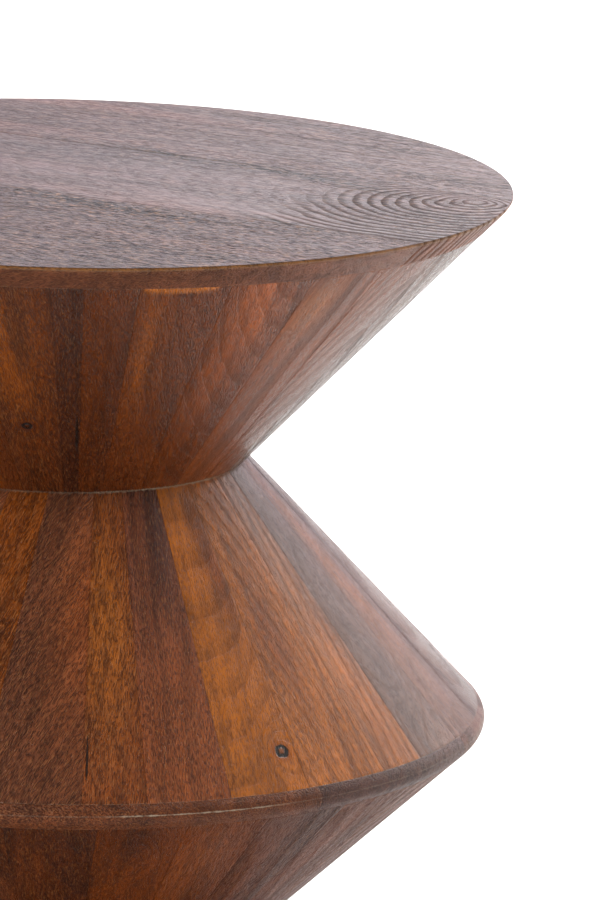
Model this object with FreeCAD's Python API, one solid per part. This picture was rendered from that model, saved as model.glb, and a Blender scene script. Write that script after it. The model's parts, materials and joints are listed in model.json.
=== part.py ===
"""Round side table of four stacked stave cones: a flat top, two waists and a wide belly.

Each cone is coopered from tapered wooden staves. The wide ends are glued to round slabs of
edge-glued boards, and the narrow ends to plugs that are screwed and dowelled together at the
two waists. Millimetres, +Z up, origin on the floor under the middle of the table.
"""
import FreeCAD, Part
import math
import os

# Driving dimensions of the outline
TOP_DIAMETER = 457.0            # over the finished rim of the table top, and of the base
BELLY_DIAMETER = 452.0          # where the two belly cones would meet before the nose is rounded
WAIST_DIAMETER = 193.0
END_CONE_HEIGHT = 141.5         # from the table top down to the upper waist
UPPER_BELLY_CONE_HEIGHT = 133.5 # from the upper waist to the nose of the belly slab
LOWER_BELLY_CONE_HEIGHT = 124.0 # from the nose of the belly slab to the lower waist
RIM_LAND = 1.6                  # upright land that blunts the sharp rim of the top and base slabs
NOSE_RADIUS = 6.0               # sanded edge of the belly slab

# Boards and staves
SLAB_THICKNESS = 12.5
STAVE_THICKNESS = 19.0          # square to the face of a stave

# Staves are glued up in equal panels: panels in a cone, and widths of the staves of a panel as
# shares of the panel
TOP_CONE_PANELS = 6
TOP_CONE_STAVE_SHARES = (0.200, 0.070, 0.120, 0.202, 0.205, 0.203)
UPPER_BELLY_PANELS = 8
UPPER_BELLY_STAVE_SHARES = (0.300, 0.189, 0.253, 0.258)
LOWER_BELLY_PANELS = 6
LOWER_BELLY_STAVE_SHARES = (0.200, 0.190, 0.207, 0.200, 0.203)
BASE_CONE_PANELS = 8
BASE_CONE_STAVE_SHARES = (0.230, 0.310, 0.185, 0.275)

# Angles in degrees, from +X towards +Y, of the first stave joint of each cone at its wide end,
# of the turn of each joint from there to the narrow end, and of the boards' grain
TOP_CONE_JOINT_ANGLE = -103.4
UPPER_BELLY_JOINT_ANGLE = -99.4
LOWER_BELLY_JOINT_ANGLE = -83.8
BASE_CONE_JOINT_ANGLE = -94.0
TOP_CONE_LEAN_ANGLE = 3.6
UPPER_BELLY_LEAN_ANGLE = 7.0
LOWER_BELLY_LEAN_ANGLE = 2.0
BASE_CONE_LEAN_ANGLE = 3.0
TOP_GRAIN_ANGLE = -31.0
BELLY_GRAIN_ANGLE = -50.0
BASE_GRAIN_ANGLE = 31.0

# Joints between the boards of a slab, across the grain, as shares of the slab's radius
TOP_JOINT_SHARES = (-0.545, -0.153, 0.394)
BELLY_JOINT_SHARES = (-0.616, -0.052, 0.49)
BASE_JOINT_SHARES = (-0.49, -0.02, 0.46)

# Plywood formers inside the wide ends
FORMER_THICKNESS = 15.0
FORMER_WIDTH = 50.0             # from the wide face's rim inwards
FIT_CLEARANCE = 0.2             # glue line between a former or plug and the staves

# Waist plugs, with their dowels and screws
PLUG_THICKNESS = 18.0
WAIST_FASTENER_RADIUS = 44.0    # circle of the dowels and screws
WAIST_FASTENERS = 3             # of each kind, alternating
DOWEL_DIAMETER = 10.0
DOWEL_LENGTH = 28.0
DOWEL_END_ROOM = 1.0            # glue room at each end of a dowel's hole
WAIST_SCREW_DIAMETER = 5.0
WAIST_SCREW_LENGTH = 32.0

# Screws from the formers into the slabs
SLAB_SCREWS = 12
SLAB_SCREW_DIAMETER = 4.0
SLAB_SCREW_LENGTH = 23.0
SLAB_SCREW_INSET = 24.0         # from the former's rim to the circle of the screws
SCREW_HEAD_SHARE = 2.0          # head diameter over the screw's own
SCREW_POINT_SHARE = 1.0         # length of the point over the screw's diameter
SCREW_HOLE_CLEARANCE = 0.1      # all round a screw, nail or dowel in its hole

# Nail-on floor glides
GLIDES = 6
GLIDE_DIAMETER = 30.0
GLIDE_THICKNESS = 4.0
GLIDE_EDGE_RADIUS = 1.0
GLIDE_INSET = 32.0              # from the base rim to a glide's centre
NAIL_DIAMETER = 2.5
NAIL_HEAD_DIAMETER = 7.0
NAIL_HEAD_THICKNESS = 1.2
NAIL_RECESS = 1.3               # from the floor up to the nail's head
NAIL_BITE = 9.0                 # into the base slab
GLIDE_START_ANGLE = 15.0        # degrees from the base grain to the first glide

CUT_OVERRUN = 5.0               # how far a cutting solid passes what it cuts

# Levels, from the floor up
BASE_LEVEL = GLIDE_THICKNESS
LOWER_WAIST = BASE_LEVEL + END_CONE_HEIGHT
BELLY_LEVEL = LOWER_WAIST + LOWER_BELLY_CONE_HEIGHT
UPPER_WAIST = BELLY_LEVEL + UPPER_BELLY_CONE_HEIGHT
TOP_LEVEL = UPPER_WAIST + END_CONE_HEIGHT

UP = FreeCAD.Vector(0, 0, 1)
AXIS_POINT = FreeCAD.Vector(0, 0, 0)
WAIST_RADIUS = WAIST_DIAMETER / 2
BELLY_RADIUS = BELLY_DIAMETER / 2
RIM_RADIUS = TOP_DIAMETER / 2
END_SLOPE = (RIM_RADIUS - WAIST_RADIUS) / (END_CONE_HEIGHT - RIM_LAND)
UPPER_BELLY_SLOPE = (BELLY_RADIUS - WAIST_RADIUS) / UPPER_BELLY_CONE_HEIGHT
LOWER_BELLY_SLOPE = (BELLY_RADIUS - WAIST_RADIUS) / LOWER_BELLY_CONE_HEIGHT


class Cone:
    """One stave cone: its narrow end at a waist, its wide end on a slab, and its own direction."""

    def __init__(self, name, waist, direction, slope, height, panels, stave_shares, joint, lean,
                 screw_start):
        self.name = name
        self.waist = waist                      # level of the narrow end
        self.direction = direction              # +1 widens upwards, -1 widens downwards
        self.slope = slope                      # radius gained per unit of height
        self.height = height                    # from the waist to the slab's near face
        self.panels = panels
        self.stave_shares = stave_shares
        self.joint = joint                      # angle of a stave joint at the wide end
        self.lean = lean                        # turn of a joint from the wide to the narrow end
        self.screw_start = screw_start          # angle of one of the screws into the slab
        self.wall = STAVE_THICKNESS * math.hypot(1, slope)      # measured level

    def level(self, along):
        """Height above the floor of a place along the cone from its waist."""
        return self.waist + self.direction * along

    def outer(self, along):
        """Outside radius at a place along the cone from its waist."""
        return WAIST_RADIUS + self.slope * along

    def inner(self, along):
        """Distance from the axis to the flat back of a stave."""
        return self.outer(along) - self.wall


END_STAVE_HEIGHT = END_CONE_HEIGHT - SLAB_THICKNESS
UPPER_BELLY_STAVE_HEIGHT = UPPER_BELLY_CONE_HEIGHT - SLAB_THICKNESS / 2
LOWER_BELLY_STAVE_HEIGHT = LOWER_BELLY_CONE_HEIGHT - SLAB_THICKNESS / 2
HALF_SCREW_ANGLE = 180.0 / SLAB_SCREWS

TOP_CONE = Cone("top_cone", UPPER_WAIST, 1, END_SLOPE, END_STAVE_HEIGHT,
                TOP_CONE_PANELS, TOP_CONE_STAVE_SHARES, TOP_CONE_JOINT_ANGLE,
                TOP_CONE_LEAN_ANGLE, TOP_GRAIN_ANGLE + HALF_SCREW_ANGLE)
UPPER_BELLY = Cone("upper_belly", UPPER_WAIST, -1, UPPER_BELLY_SLOPE, UPPER_BELLY_STAVE_HEIGHT,
                   UPPER_BELLY_PANELS, UPPER_BELLY_STAVE_SHARES, UPPER_BELLY_JOINT_ANGLE,
                   UPPER_BELLY_LEAN_ANGLE, BELLY_GRAIN_ANGLE + HALF_SCREW_ANGLE)
LOWER_BELLY = Cone("lower_belly", LOWER_WAIST, 1, LOWER_BELLY_SLOPE, LOWER_BELLY_STAVE_HEIGHT,
                   LOWER_BELLY_PANELS, LOWER_BELLY_STAVE_SHARES, LOWER_BELLY_JOINT_ANGLE,
                   LOWER_BELLY_LEAN_ANGLE, BELLY_GRAIN_ANGLE)
BASE_CONE = Cone("base_cone", LOWER_WAIST, -1, END_SLOPE, END_STAVE_HEIGHT,
                 BASE_CONE_PANELS, BASE_CONE_STAVE_SHARES, BASE_CONE_JOINT_ANGLE,
                 BASE_CONE_LEAN_ANGLE, BASE_GRAIN_ANGLE + HALF_SCREW_ANGLE)


def turned(outline, degrees=360.0, corner=None, corner_radius=0.0):
    """Solid of revolution about Z of a closed outline of (radius, level) points.

    The outline's point number corner, if given, is rounded to corner_radius.
    """
    points = [FreeCAD.Vector(radius, 0, level) for radius, level in outline]
    wire = Part.makePolygon(points + points[:1])
    if corner is not None:
        wire = rounded(points[corner + 1:] + points[:corner + 1], corner_radius)
    solid = Part.Face(wire).revolve(AXIS_POINT, UP, degrees)
    return solid if solid.Volume > 0 else solid.reversed()


def rounded(points, radius):
    """Closed wire through the points, with an arc in place of the last one."""
    sharp = points[-1]
    back = (points[-2] - sharp).normalize()
    ahead = (points[0] - sharp).normalize()
    half = back.getAngle(ahead) / 2
    inwards = (back + ahead).normalize()
    start = sharp + back * (radius / math.tan(half))
    middle = sharp + inwards * (radius / math.sin(half) - radius)
    end = sharp + ahead * (radius / math.tan(half))
    straight = Part.makePolygon([end] + points[:-1] + [start])
    return Part.Wire(straight.Edges + [Part.Arc(start, middle, end).toShape()])


def spun(shape, degrees):
    """A copy of the shape, turned about Z."""
    copy = shape.copy()
    copy.rotate(AXIS_POINT, UP, degrees)
    return copy


def around(shape, count, first_degrees):
    """Copies of a shape, evenly spaced about Z."""
    return [spun(shape, first_degrees + 360.0 * i / count) for i in range(count)]


def mirrored_level(shape, level):
    """The shape turned over about a level line, so what pointed up points down."""
    copy = shape.copy()
    copy.rotate(FreeCAD.Vector(0, 0, level), FreeCAD.Vector(1, 0, 0), 180.0)
    return copy


def write(name, solids):
    """One STEP file for a node, from one solid or several."""
    solids = solids if isinstance(solids, list) else [solids]
    shape = solids[0] if len(solids) == 1 else Part.makeCompound(solids)
    shape.exportStep(os.path.join("parts", name + ".step"))


def beside_joint(cone, side):
    """Block that covers all of one side of the leaning joint plane at angle 0: side -1 or +1."""
    wide = FreeCAD.Vector(cone.outer(cone.height), 0, cone.level(cone.height))
    lean = math.radians(cone.lean)
    narrow = FreeCAD.Vector(cone.outer(0.0) * math.cos(lean), cone.outer(0.0) * math.sin(lean),
                            cone.level(0.0))
    along = (narrow - wide).normalize()
    outwards = FreeCAD.Vector(math.cos(lean / 2), math.sin(lean / 2), 0)
    square = along.cross(outwards).normalize()
    square = square if square.y > 0 else -square
    across = along.cross(square).normalize()
    reach = cone.outer(cone.height) + CUT_OVERRUN
    middle = (wide + narrow) / 2
    corners = [middle + along * (reach * a) + across * (reach * b)
               for a, b in ((-1, -1), (1, -1), (1, 1), (-1, 1))]
    return Part.Face(Part.makePolygon(corners + corners[:1])).extrude(square * (side * reach))


def stave(cone, start, width):
    """One stave between joints at the angles start and start + width.

    It is round outside, flat at the back and mitred to its neighbours along leaning joints.
    """
    spare = abs(cone.lean) + width / 2
    wedge = turned([(0.0, cone.level(0.0)), (cone.outer(0.0), cone.level(0.0)),
                    (cone.outer(cone.height), cone.level(cone.height)),
                    (0.0, cone.level(cone.height))], width + 2 * spare)
    low, high = -CUT_OVERRUN, cone.height + CUT_OVERRUN
    side = [FreeCAD.Vector(-CUT_OVERRUN, 0, cone.level(low)),
            FreeCAD.Vector(cone.inner(low), 0, cone.level(low)),
            FreeCAD.Vector(cone.inner(high), 0, cone.level(high)),
            FreeCAD.Vector(-CUT_OVERRUN, 0, cone.level(high))]
    half_width = cone.outer(high)
    core = Part.Face(Part.makePolygon(side + side[:1]))
    core = core.extrude(FreeCAD.Vector(0, 2 * half_width, 0))
    core.translate(FreeCAD.Vector(0, -half_width, 0))
    cuts = [spun(core, (width + cone.lean) / 2), beside_joint(cone, -1),
            spun(beside_joint(cone, 1), width)]
    return spun(spun(wedge, -spare).cut(cuts).Solids[0], start)


def stave_panels(cone):
    """The cone's staves, grouped in the panels that they are glued up in."""
    panel_angle = 360.0 / cone.panels
    widths = [share * panel_angle / sum(cone.stave_shares) for share in cone.stave_shares]
    staves = [stave(cone, cone.joint + sum(widths[:i]), width) for i, width in enumerate(widths)]
    for number in range(cone.panels):
        yield (f"{cone.name}_staves_{number + 1}",
               [spun(one, number * panel_angle) for one in staves])


def end_slab(face_level, direction):
    """Top or base slab: a disc whose edge carries on the cone's slope up to an upright land."""
    inside = face_level - direction * SLAB_THICKNESS
    inside_radius = RIM_RADIUS - END_SLOPE * (SLAB_THICKNESS - RIM_LAND)
    return turned([(0.0, inside), (inside_radius, inside),
                   (RIM_RADIUS, face_level - direction * RIM_LAND), (RIM_RADIUS, face_level),
                   (0.0, face_level)])


def belly_slab():
    """Slab between the belly cones: its edge carries on both slopes to a rounded nose."""
    half = SLAB_THICKNESS / 2
    upper_radius = BELLY_RADIUS - UPPER_BELLY_SLOPE * half
    lower_radius = BELLY_RADIUS - LOWER_BELLY_SLOPE * half
    return turned([(0.0, BELLY_LEVEL - half), (lower_radius, BELLY_LEVEL - half),
                   (BELLY_RADIUS, BELLY_LEVEL), (upper_radius, BELLY_LEVEL + half),
                   (0.0, BELLY_LEVEL + half)], corner=2, corner_radius=NOSE_RADIUS)


def boards(slab, radius, joint_shares, grain):
    """The slab ripped along the grain into its boards, in order across the grain."""
    box = slab.BoundBox
    reach = radius + CUT_OVERRUN
    edges = [-reach] + [share * radius for share in joint_shares] + [reach]
    for near, far in zip(edges, edges[1:]):
        strip = Part.makeBox(2 * reach, far - near, box.ZLength + 2 * CUT_OVERRUN,
                             FreeCAD.Vector(-reach, near, box.ZMin - CUT_OVERRUN))
        yield slab.common(spun(strip, grain)).Solids[0]


def screw(diameter, length, clearance=0.0):
    """Countersunk wood screw that points up from its head at level 0, or the hole it makes."""
    shank = diameter / 2 + clearance
    head = SCREW_HEAD_SHARE * diameter / 2 + clearance
    cone = head - shank
    point = SCREW_POINT_SHARE * diameter
    tip = length + clearance
    foot = -clearance
    return turned([(0.0, foot), (head, foot), (head, 0.0), (shank, cone), (shank, tip - point),
                   (0.0, tip)])


def slab_screws(cone, clearance=0.0):
    """Screws from a former's narrow face into the slab at the cone's wide end."""
    along = cone.height - FORMER_THICKNESS
    radius = former_radius(cone, cone.height) - SLAB_SCREW_INSET
    one = screw(SLAB_SCREW_DIAMETER, SLAB_SCREW_LENGTH, clearance)
    one = one if cone.direction > 0 else mirrored_level(one, 0.0)
    one.translate(FreeCAD.Vector(radius, 0, cone.level(along)))
    return around(one, SLAB_SCREWS, cone.screw_start)


def former_radius(cone, along):
    """Radius of a former or plug that is set against the flat backs of the staves."""
    return cone.inner(along) - FIT_CLEARANCE


def former(cone):
    """Plywood ring glued inside the wide end of a cone, and screwed to the slab."""
    near = cone.height - FORMER_THICKNESS
    bore = former_radius(cone, cone.height) - FORMER_WIDTH
    ring = turned([(bore, cone.level(near)), (former_radius(cone, near), cone.level(near)),
                   (former_radius(cone, cone.height), cone.level(cone.height)),
                   (bore, cone.level(cone.height))])
    return ring.cut(slab_screws(cone, SCREW_HOLE_CLEARANCE)).Solids[0]


def waist_dowels(waist, clearance=0.0, end_room=0.0):
    """Dowels across a waist, half in each plug."""
    length = DOWEL_LENGTH + 2 * end_room
    dowel = Part.makeCylinder(DOWEL_DIAMETER / 2 + clearance, length,
                              FreeCAD.Vector(WAIST_FASTENER_RADIUS, 0, waist - length / 2))
    return around(dowel, WAIST_FASTENERS, 0.0)


def waist_screws(cone, clearance=0.0):
    """Screws from the inside of an end cone's plug into the belly cone's plug."""
    one = screw(WAIST_SCREW_DIAMETER, WAIST_SCREW_LENGTH, clearance)
    one = mirrored_level(one, 0.0) if cone.direction > 0 else one
    one.translate(FreeCAD.Vector(WAIST_FASTENER_RADIUS, 0, cone.level(PLUG_THICKNESS)))
    return around(one, WAIST_FASTENERS, 180.0 / WAIST_FASTENERS)


def waist_plug(cone, screwed_from):
    """Tapered disc glued in the narrow end of a cone, drilled for the waist's fasteners."""
    plug = turned([(0.0, cone.level(0.0)), (former_radius(cone, 0.0), cone.level(0.0)),
                   (former_radius(cone, PLUG_THICKNESS), cone.level(PLUG_THICKNESS)),
                   (0.0, cone.level(PLUG_THICKNESS))])
    holes = waist_dowels(cone.waist, SCREW_HOLE_CLEARANCE, DOWEL_END_ROOM)
    holes = holes + waist_screws(screwed_from, SCREW_HOLE_CLEARANCE)
    return plug.cut(holes).Solids[0]


def at_glides(shape):
    """A glide's piece at the place of every glide under the base."""
    placed = shape.copy()
    placed.translate(FreeCAD.Vector(TOP_DIAMETER / 2 - GLIDE_INSET, 0, 0))
    return around(placed, GLIDES, BASE_GRAIN_ANGLE + GLIDE_START_ANGLE)


def nail(clearance=0.0):
    """Nail of a floor glide, head down, on the glide's own axis."""
    head = NAIL_HEAD_DIAMETER / 2 + clearance
    shank = NAIL_DIAMETER / 2 + clearance
    neck = NAIL_RECESS + NAIL_HEAD_THICKNESS
    tip = GLIDE_THICKNESS + NAIL_BITE + clearance
    point = NAIL_DIAMETER
    foot = NAIL_RECESS - clearance
    return turned([(0.0, foot), (head, foot), (head, neck + clearance), (shank, neck + clearance),
                   (shank, tip - point), (0.0, tip)])


def floor_glide():
    """Round nylon glide with a rounded foot and a recess for its nail."""
    radius = GLIDE_DIAMETER / 2
    disc = turned([(0.0, 0.0), (radius, 0.0), (radius, GLIDE_THICKNESS), (0.0, GLIDE_THICKNESS)],
                  corner=1, corner_radius=GLIDE_EDGE_RADIUS)
    recess = Part.makeCylinder(NAIL_HEAD_DIAMETER / 2 + SCREW_HOLE_CLEARANCE, NAIL_RECESS)
    return disc.cut([recess, nail(SCREW_HOLE_CLEARANCE)]).Solids[0]


def write_slabs():
    """The boards of the three slabs, with the holes of the screws and nails that hold them."""
    slabs = {
        "top": (end_slab(TOP_LEVEL, 1), RIM_RADIUS, TOP_JOINT_SHARES, TOP_GRAIN_ANGLE,
                slab_screws(TOP_CONE, SCREW_HOLE_CLEARANCE)),
        "belly": (belly_slab(), BELLY_RADIUS, BELLY_JOINT_SHARES, BELLY_GRAIN_ANGLE,
                  slab_screws(UPPER_BELLY, SCREW_HOLE_CLEARANCE)
                  + slab_screws(LOWER_BELLY, SCREW_HOLE_CLEARANCE)),
        "base": (end_slab(BASE_LEVEL, -1), RIM_RADIUS, BASE_JOINT_SHARES, BASE_GRAIN_ANGLE,
                 slab_screws(BASE_CONE, SCREW_HOLE_CLEARANCE)
                 + at_glides(nail(SCREW_HOLE_CLEARANCE))),
    }
    for name, (slab, radius, joint_shares, grain, holes) in slabs.items():
        for number, board in enumerate(boards(slab, radius, joint_shares, grain), 1):
            write(f"{name}_board_{number}", board.cut(holes).Solids[0])


def write_cones():
    """Each cone's staves, former, former screws and waist plug."""
    pairs = ((TOP_CONE, TOP_CONE), (UPPER_BELLY, TOP_CONE), (LOWER_BELLY, BASE_CONE),
             (BASE_CONE, BASE_CONE))
    for cone, screwed_from in pairs:
        for name, staves in stave_panels(cone):
            write(name, staves)
        write(cone.name + "_former", former(cone))
        write(cone.name + "_former_screws", slab_screws(cone))
        write(cone.name + "_waist_plug", waist_plug(cone, screwed_from))


def write_waists_and_glides():
    """The fasteners across the two waists, and what the table stands on."""
    for name, end_cone in (("upper_waist", TOP_CONE), ("lower_waist", BASE_CONE)):
        write(name + "_dowels", waist_dowels(end_cone.waist))
        write(name + "_screws", waist_screws(end_cone))
    write("floor_glides", at_glides(floor_glide()))
    write("glide_nails", at_glides(nail()))


os.makedirs("parts", exist_ok=True)
write_slabs()
write_cones()
write_waists_and_glides()
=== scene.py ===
"""Looks of a round side table of stacked stave cones: oiled open-pored hardwood in a white studio.

Every stave and board is a block of solid timber worked out with numpy. A block carries its own
grain coordinates, growth rings, tone and blemishes, and one timber node group draws them.
Metres, +Z up, the same frame as the CAD model.
"""
import json
import math

import bpy
import numpy as np
from mathutils import Matrix


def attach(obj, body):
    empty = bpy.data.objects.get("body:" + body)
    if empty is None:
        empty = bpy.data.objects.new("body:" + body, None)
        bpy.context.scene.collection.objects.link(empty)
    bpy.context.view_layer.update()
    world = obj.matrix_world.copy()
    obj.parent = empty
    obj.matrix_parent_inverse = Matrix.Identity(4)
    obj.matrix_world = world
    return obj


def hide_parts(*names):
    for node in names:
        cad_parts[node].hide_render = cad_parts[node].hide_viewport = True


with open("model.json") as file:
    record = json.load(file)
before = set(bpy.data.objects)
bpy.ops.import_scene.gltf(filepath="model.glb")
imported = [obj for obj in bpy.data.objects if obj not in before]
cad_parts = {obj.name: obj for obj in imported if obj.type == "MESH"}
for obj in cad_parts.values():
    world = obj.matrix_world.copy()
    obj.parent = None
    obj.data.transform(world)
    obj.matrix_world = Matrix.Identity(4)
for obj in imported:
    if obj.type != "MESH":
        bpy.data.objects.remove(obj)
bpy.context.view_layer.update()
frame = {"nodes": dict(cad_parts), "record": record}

# Outline, as in the CAD model
RIM_RADIUS = 0.2285
BELLY_RADIUS = 0.226            # before the nose is rounded
WAIST_RADIUS = 0.0965
BASE_LEVEL = 0.004
LOWER_WAIST = 0.1455
BELLY_LEVEL = 0.2695
UPPER_WAIST = 0.403
TOP_LEVEL = 0.5445
SLAB = 0.0125                   # thickness of the top, belly and base slabs
STAVE = 0.019                   # thickness of a stave, square to its face
RIM_LAND = 0.0016
NOSE_RADIUS = 0.006
END_CONE = 0.1415               # from a waist to the top or base
UPPER_BELLY_CONE = UPPER_WAIST - BELLY_LEVEL
LOWER_BELLY_CONE = BELLY_LEVEL - LOWER_WAIST
END_SLOPE = (RIM_RADIUS - WAIST_RADIUS) / (END_CONE - RIM_LAND)
UPPER_SLOPE = (BELLY_RADIUS - WAIST_RADIUS) / UPPER_BELLY_CONE
LOWER_SLOPE = (BELLY_RADIUS - WAIST_RADIUS) / LOWER_BELLY_CONE

# Small shapes that hand work leaves
JOINT_DIP = 0.00005             # how far a stave falls away at its joints
JOINT_DIP_REACH = 0.0010        # and from how far off
END_DIP = 0.00022               # how far it falls away at its ends
END_DIP_REACH = 0.0012
BOARD_DIP = 1.5 * JOINT_DIP     # how far a board falls away at its joints
BOARD_DIP_REACH = 0.0011
HAND_WAVE = 0.00030             # deepest hollow that planing left in a stave's face
HAND_WAVE_FADE = 0.004          # length over which the hollows run out at a stave's ends
BOARD_WAVE = 0.5 * HAND_WAVE    # deepest hollow in a board's face
LAND_EASE = 0.00025             # taken off the corner between slope and land of a rim
LAND_ROUNDING = (0, 0, 0.00010, 0.00032, 0.00065)   # how the land falls back to the face

# Rows of points: (inner rows, margin with the close rows of an edge) across and along a stave,
# and across a board, and even rows along a board
STAVE_ROWS = ((16, 0.022), (56, 0.006))
BOARD_ROWS = (40, 0.012)
BOARD_LENGTH_ROWS = 130
CLOSE_ROW, FIRST_INNER_ROW = 0.4, 2.2               # in margins from the edge
RIM_SLOPE_SHARES = (0, 0.3, 0.55, 0.75, 0.9, 1)     # up the slope of a rim
RIM_LAND_SHARES = (0.75, 0.45, 0.2, 0.06, 0)        # down from the face on its land
NOSE_ROWS, NOSE_SLOPE_ROWS = 13, 4
NOSE_SLOPE_END = 1.25           # where a slope's rows end, in lengths that the rounding cuts off
OUTER_ANGLE = 0.03              # rim angle where an outer board's last line ends, in radians
OUTER_BOW = 6                   # power with which lines bow out towards the rim's arc

# Seeds of the drawn patterns, and the range in metres over which pieces lie in the pattern
STAVE_SEED, BOARD_SEED = 31, 57
GRAIN_SHIFT = 4

# How fast drawn waves run across and along the timber, in radians per metre
WAVE_COUNT = 6
STAVE_HOLLOWS, BOARD_HOLLOWS = (90, 34), (60, 22)
STAVE_CLOUDS, BOARD_CLOUDS = (120, 30), (60, 9)
STAVE_PORE_FIELDS, BOARD_PORE_FIELDS = (80, 30), (50, 18)
PITH_BENDS = (30, 16)
SAP_WAVES = (170, 0)
GLUE_GAPS = (0.9, 0)            # round the cone, in radians per degree

# Pith of the log: how far it lies to the side and under the face, how it tilts and bends
PITH_SIDE = 0.04
STAVE_PITH, BOARD_PITH = (0.03, 0.09), (0.02, 0.06)
PITH_TILT_SIDE, PITH_TILT_UNDER = 0.07, 0.22
PITH_BEND = 0.0022
STAVE_RINGS, BOARD_RINGS = (0.15, 0.4), 0.13        # contrast of the rings
RING_WOBBLE = 0.6

# Wood tones, as display colours from 0 to 255
TONES = {
    "amber": (136, 70, 20), "toffee": (100, 49, 20), "chocolate": (80, 39, 21),
    "cocoa": (106, 55, 27), "russet": (133, 70, 32), "chestnut": (162, 82, 25),
    "honey": (179, 104, 38), "straw": (148, 92, 50), "rosewood": (116, 68, 46),
    # The two grey tones of the right-hand staves are partly their own tone and partly a painted
    # sheen from the light that grazes that side
    "plum": (84, 50, 42), "ash_and_sheen": (118, 84, 67), "smoke": (88, 58, 53), "khaki": (142, 94, 46),
    "sap": (206, 120, 44), "mahogany": (108, 52, 18), "teak": (154, 84, 46),
    "walnut": (98, 60, 50), "umber_and_sheen": (95, 69, 58),
}


class Cone:
    """One ring of staves between a waist and a slab.

    direction is 1 where the cone rises from its waist. shares are the staves' widths in a panel.
    joint is the angle of the first joint at the wide end, and lean how far a joint turns from
    there to the narrow end, both in degrees.
    """

    def __init__(self, name, waist, direction, slope, height, panels, shares, joint, lean):
        self.name, self.waist, self.direction = name, waist, direction
        self.slope, self.height, self.panels = slope, height, panels
        self.shares = np.array(shares) / np.sum(shares)
        self.joint, self.lean = math.radians(joint), math.radians(lean)


CONES = (
    Cone("top_cone", UPPER_WAIST, 1, END_SLOPE, END_CONE - SLAB, 6,
         (0.200, 0.070, 0.120, 0.202, 0.205, 0.203), -103.4, 3.6),
    Cone("upper_belly", UPPER_WAIST, -1, UPPER_SLOPE, UPPER_BELLY_CONE - SLAB / 2, 8,
         (0.300, 0.189, 0.253, 0.258), -99.4, 7.0),
    Cone("lower_belly", LOWER_WAIST, 1, LOWER_SLOPE, LOWER_BELLY_CONE - SLAB / 2, 6,
         (0.200, 0.190, 0.207, 0.200, 0.203), -83.8, 2.0),
    Cone("base_cone", LOWER_WAIST, -1, END_SLOPE, END_CONE - SLAB, 8,
         (0.230, 0.310, 0.185, 0.275), -94.0, 3.0),
)


class Look:
    """What one stave shows.

    tone, second: main tone, and the tone it passes into
    lay: where the second tone lies: (place across, place along, half width, half length) as
        shares of the stave, from the joint at the lower angle and from the narrow end
    slant: how far the pores run across the stave per unit of length
    eddy: a swirl in the rings: (place across, place along, size in metres)
    knot: (place across, place along, radius in metres)
    check: a dark drying crack: (place across, place along, half width, half length in metres)
    sap: a strip of pale sapwood at the wide end: (first, last) place across
    open_pores: how open the pores are, from about 0.4 where they are filled to 1.2
    """

    def __init__(self, tone, second=None, lay=(0.5, 0.5, 0.3, 0.6), slant=0.0, eddy=None,
                 knot=None, check=None, sap=None, open_pores=0.8):
        self.tone, self.second, self.lay, self.slant = tone, second or tone, lay, slant
        self.eddy, self.knot, self.check, self.sap = eddy, knot, check, sap
        self.open_pores = open_pores

    def plain(self):
        """The same timber without its blemishes."""
        return Look(self.tone, self.second, self.lay, self.slant, open_pores=self.open_pores)


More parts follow.
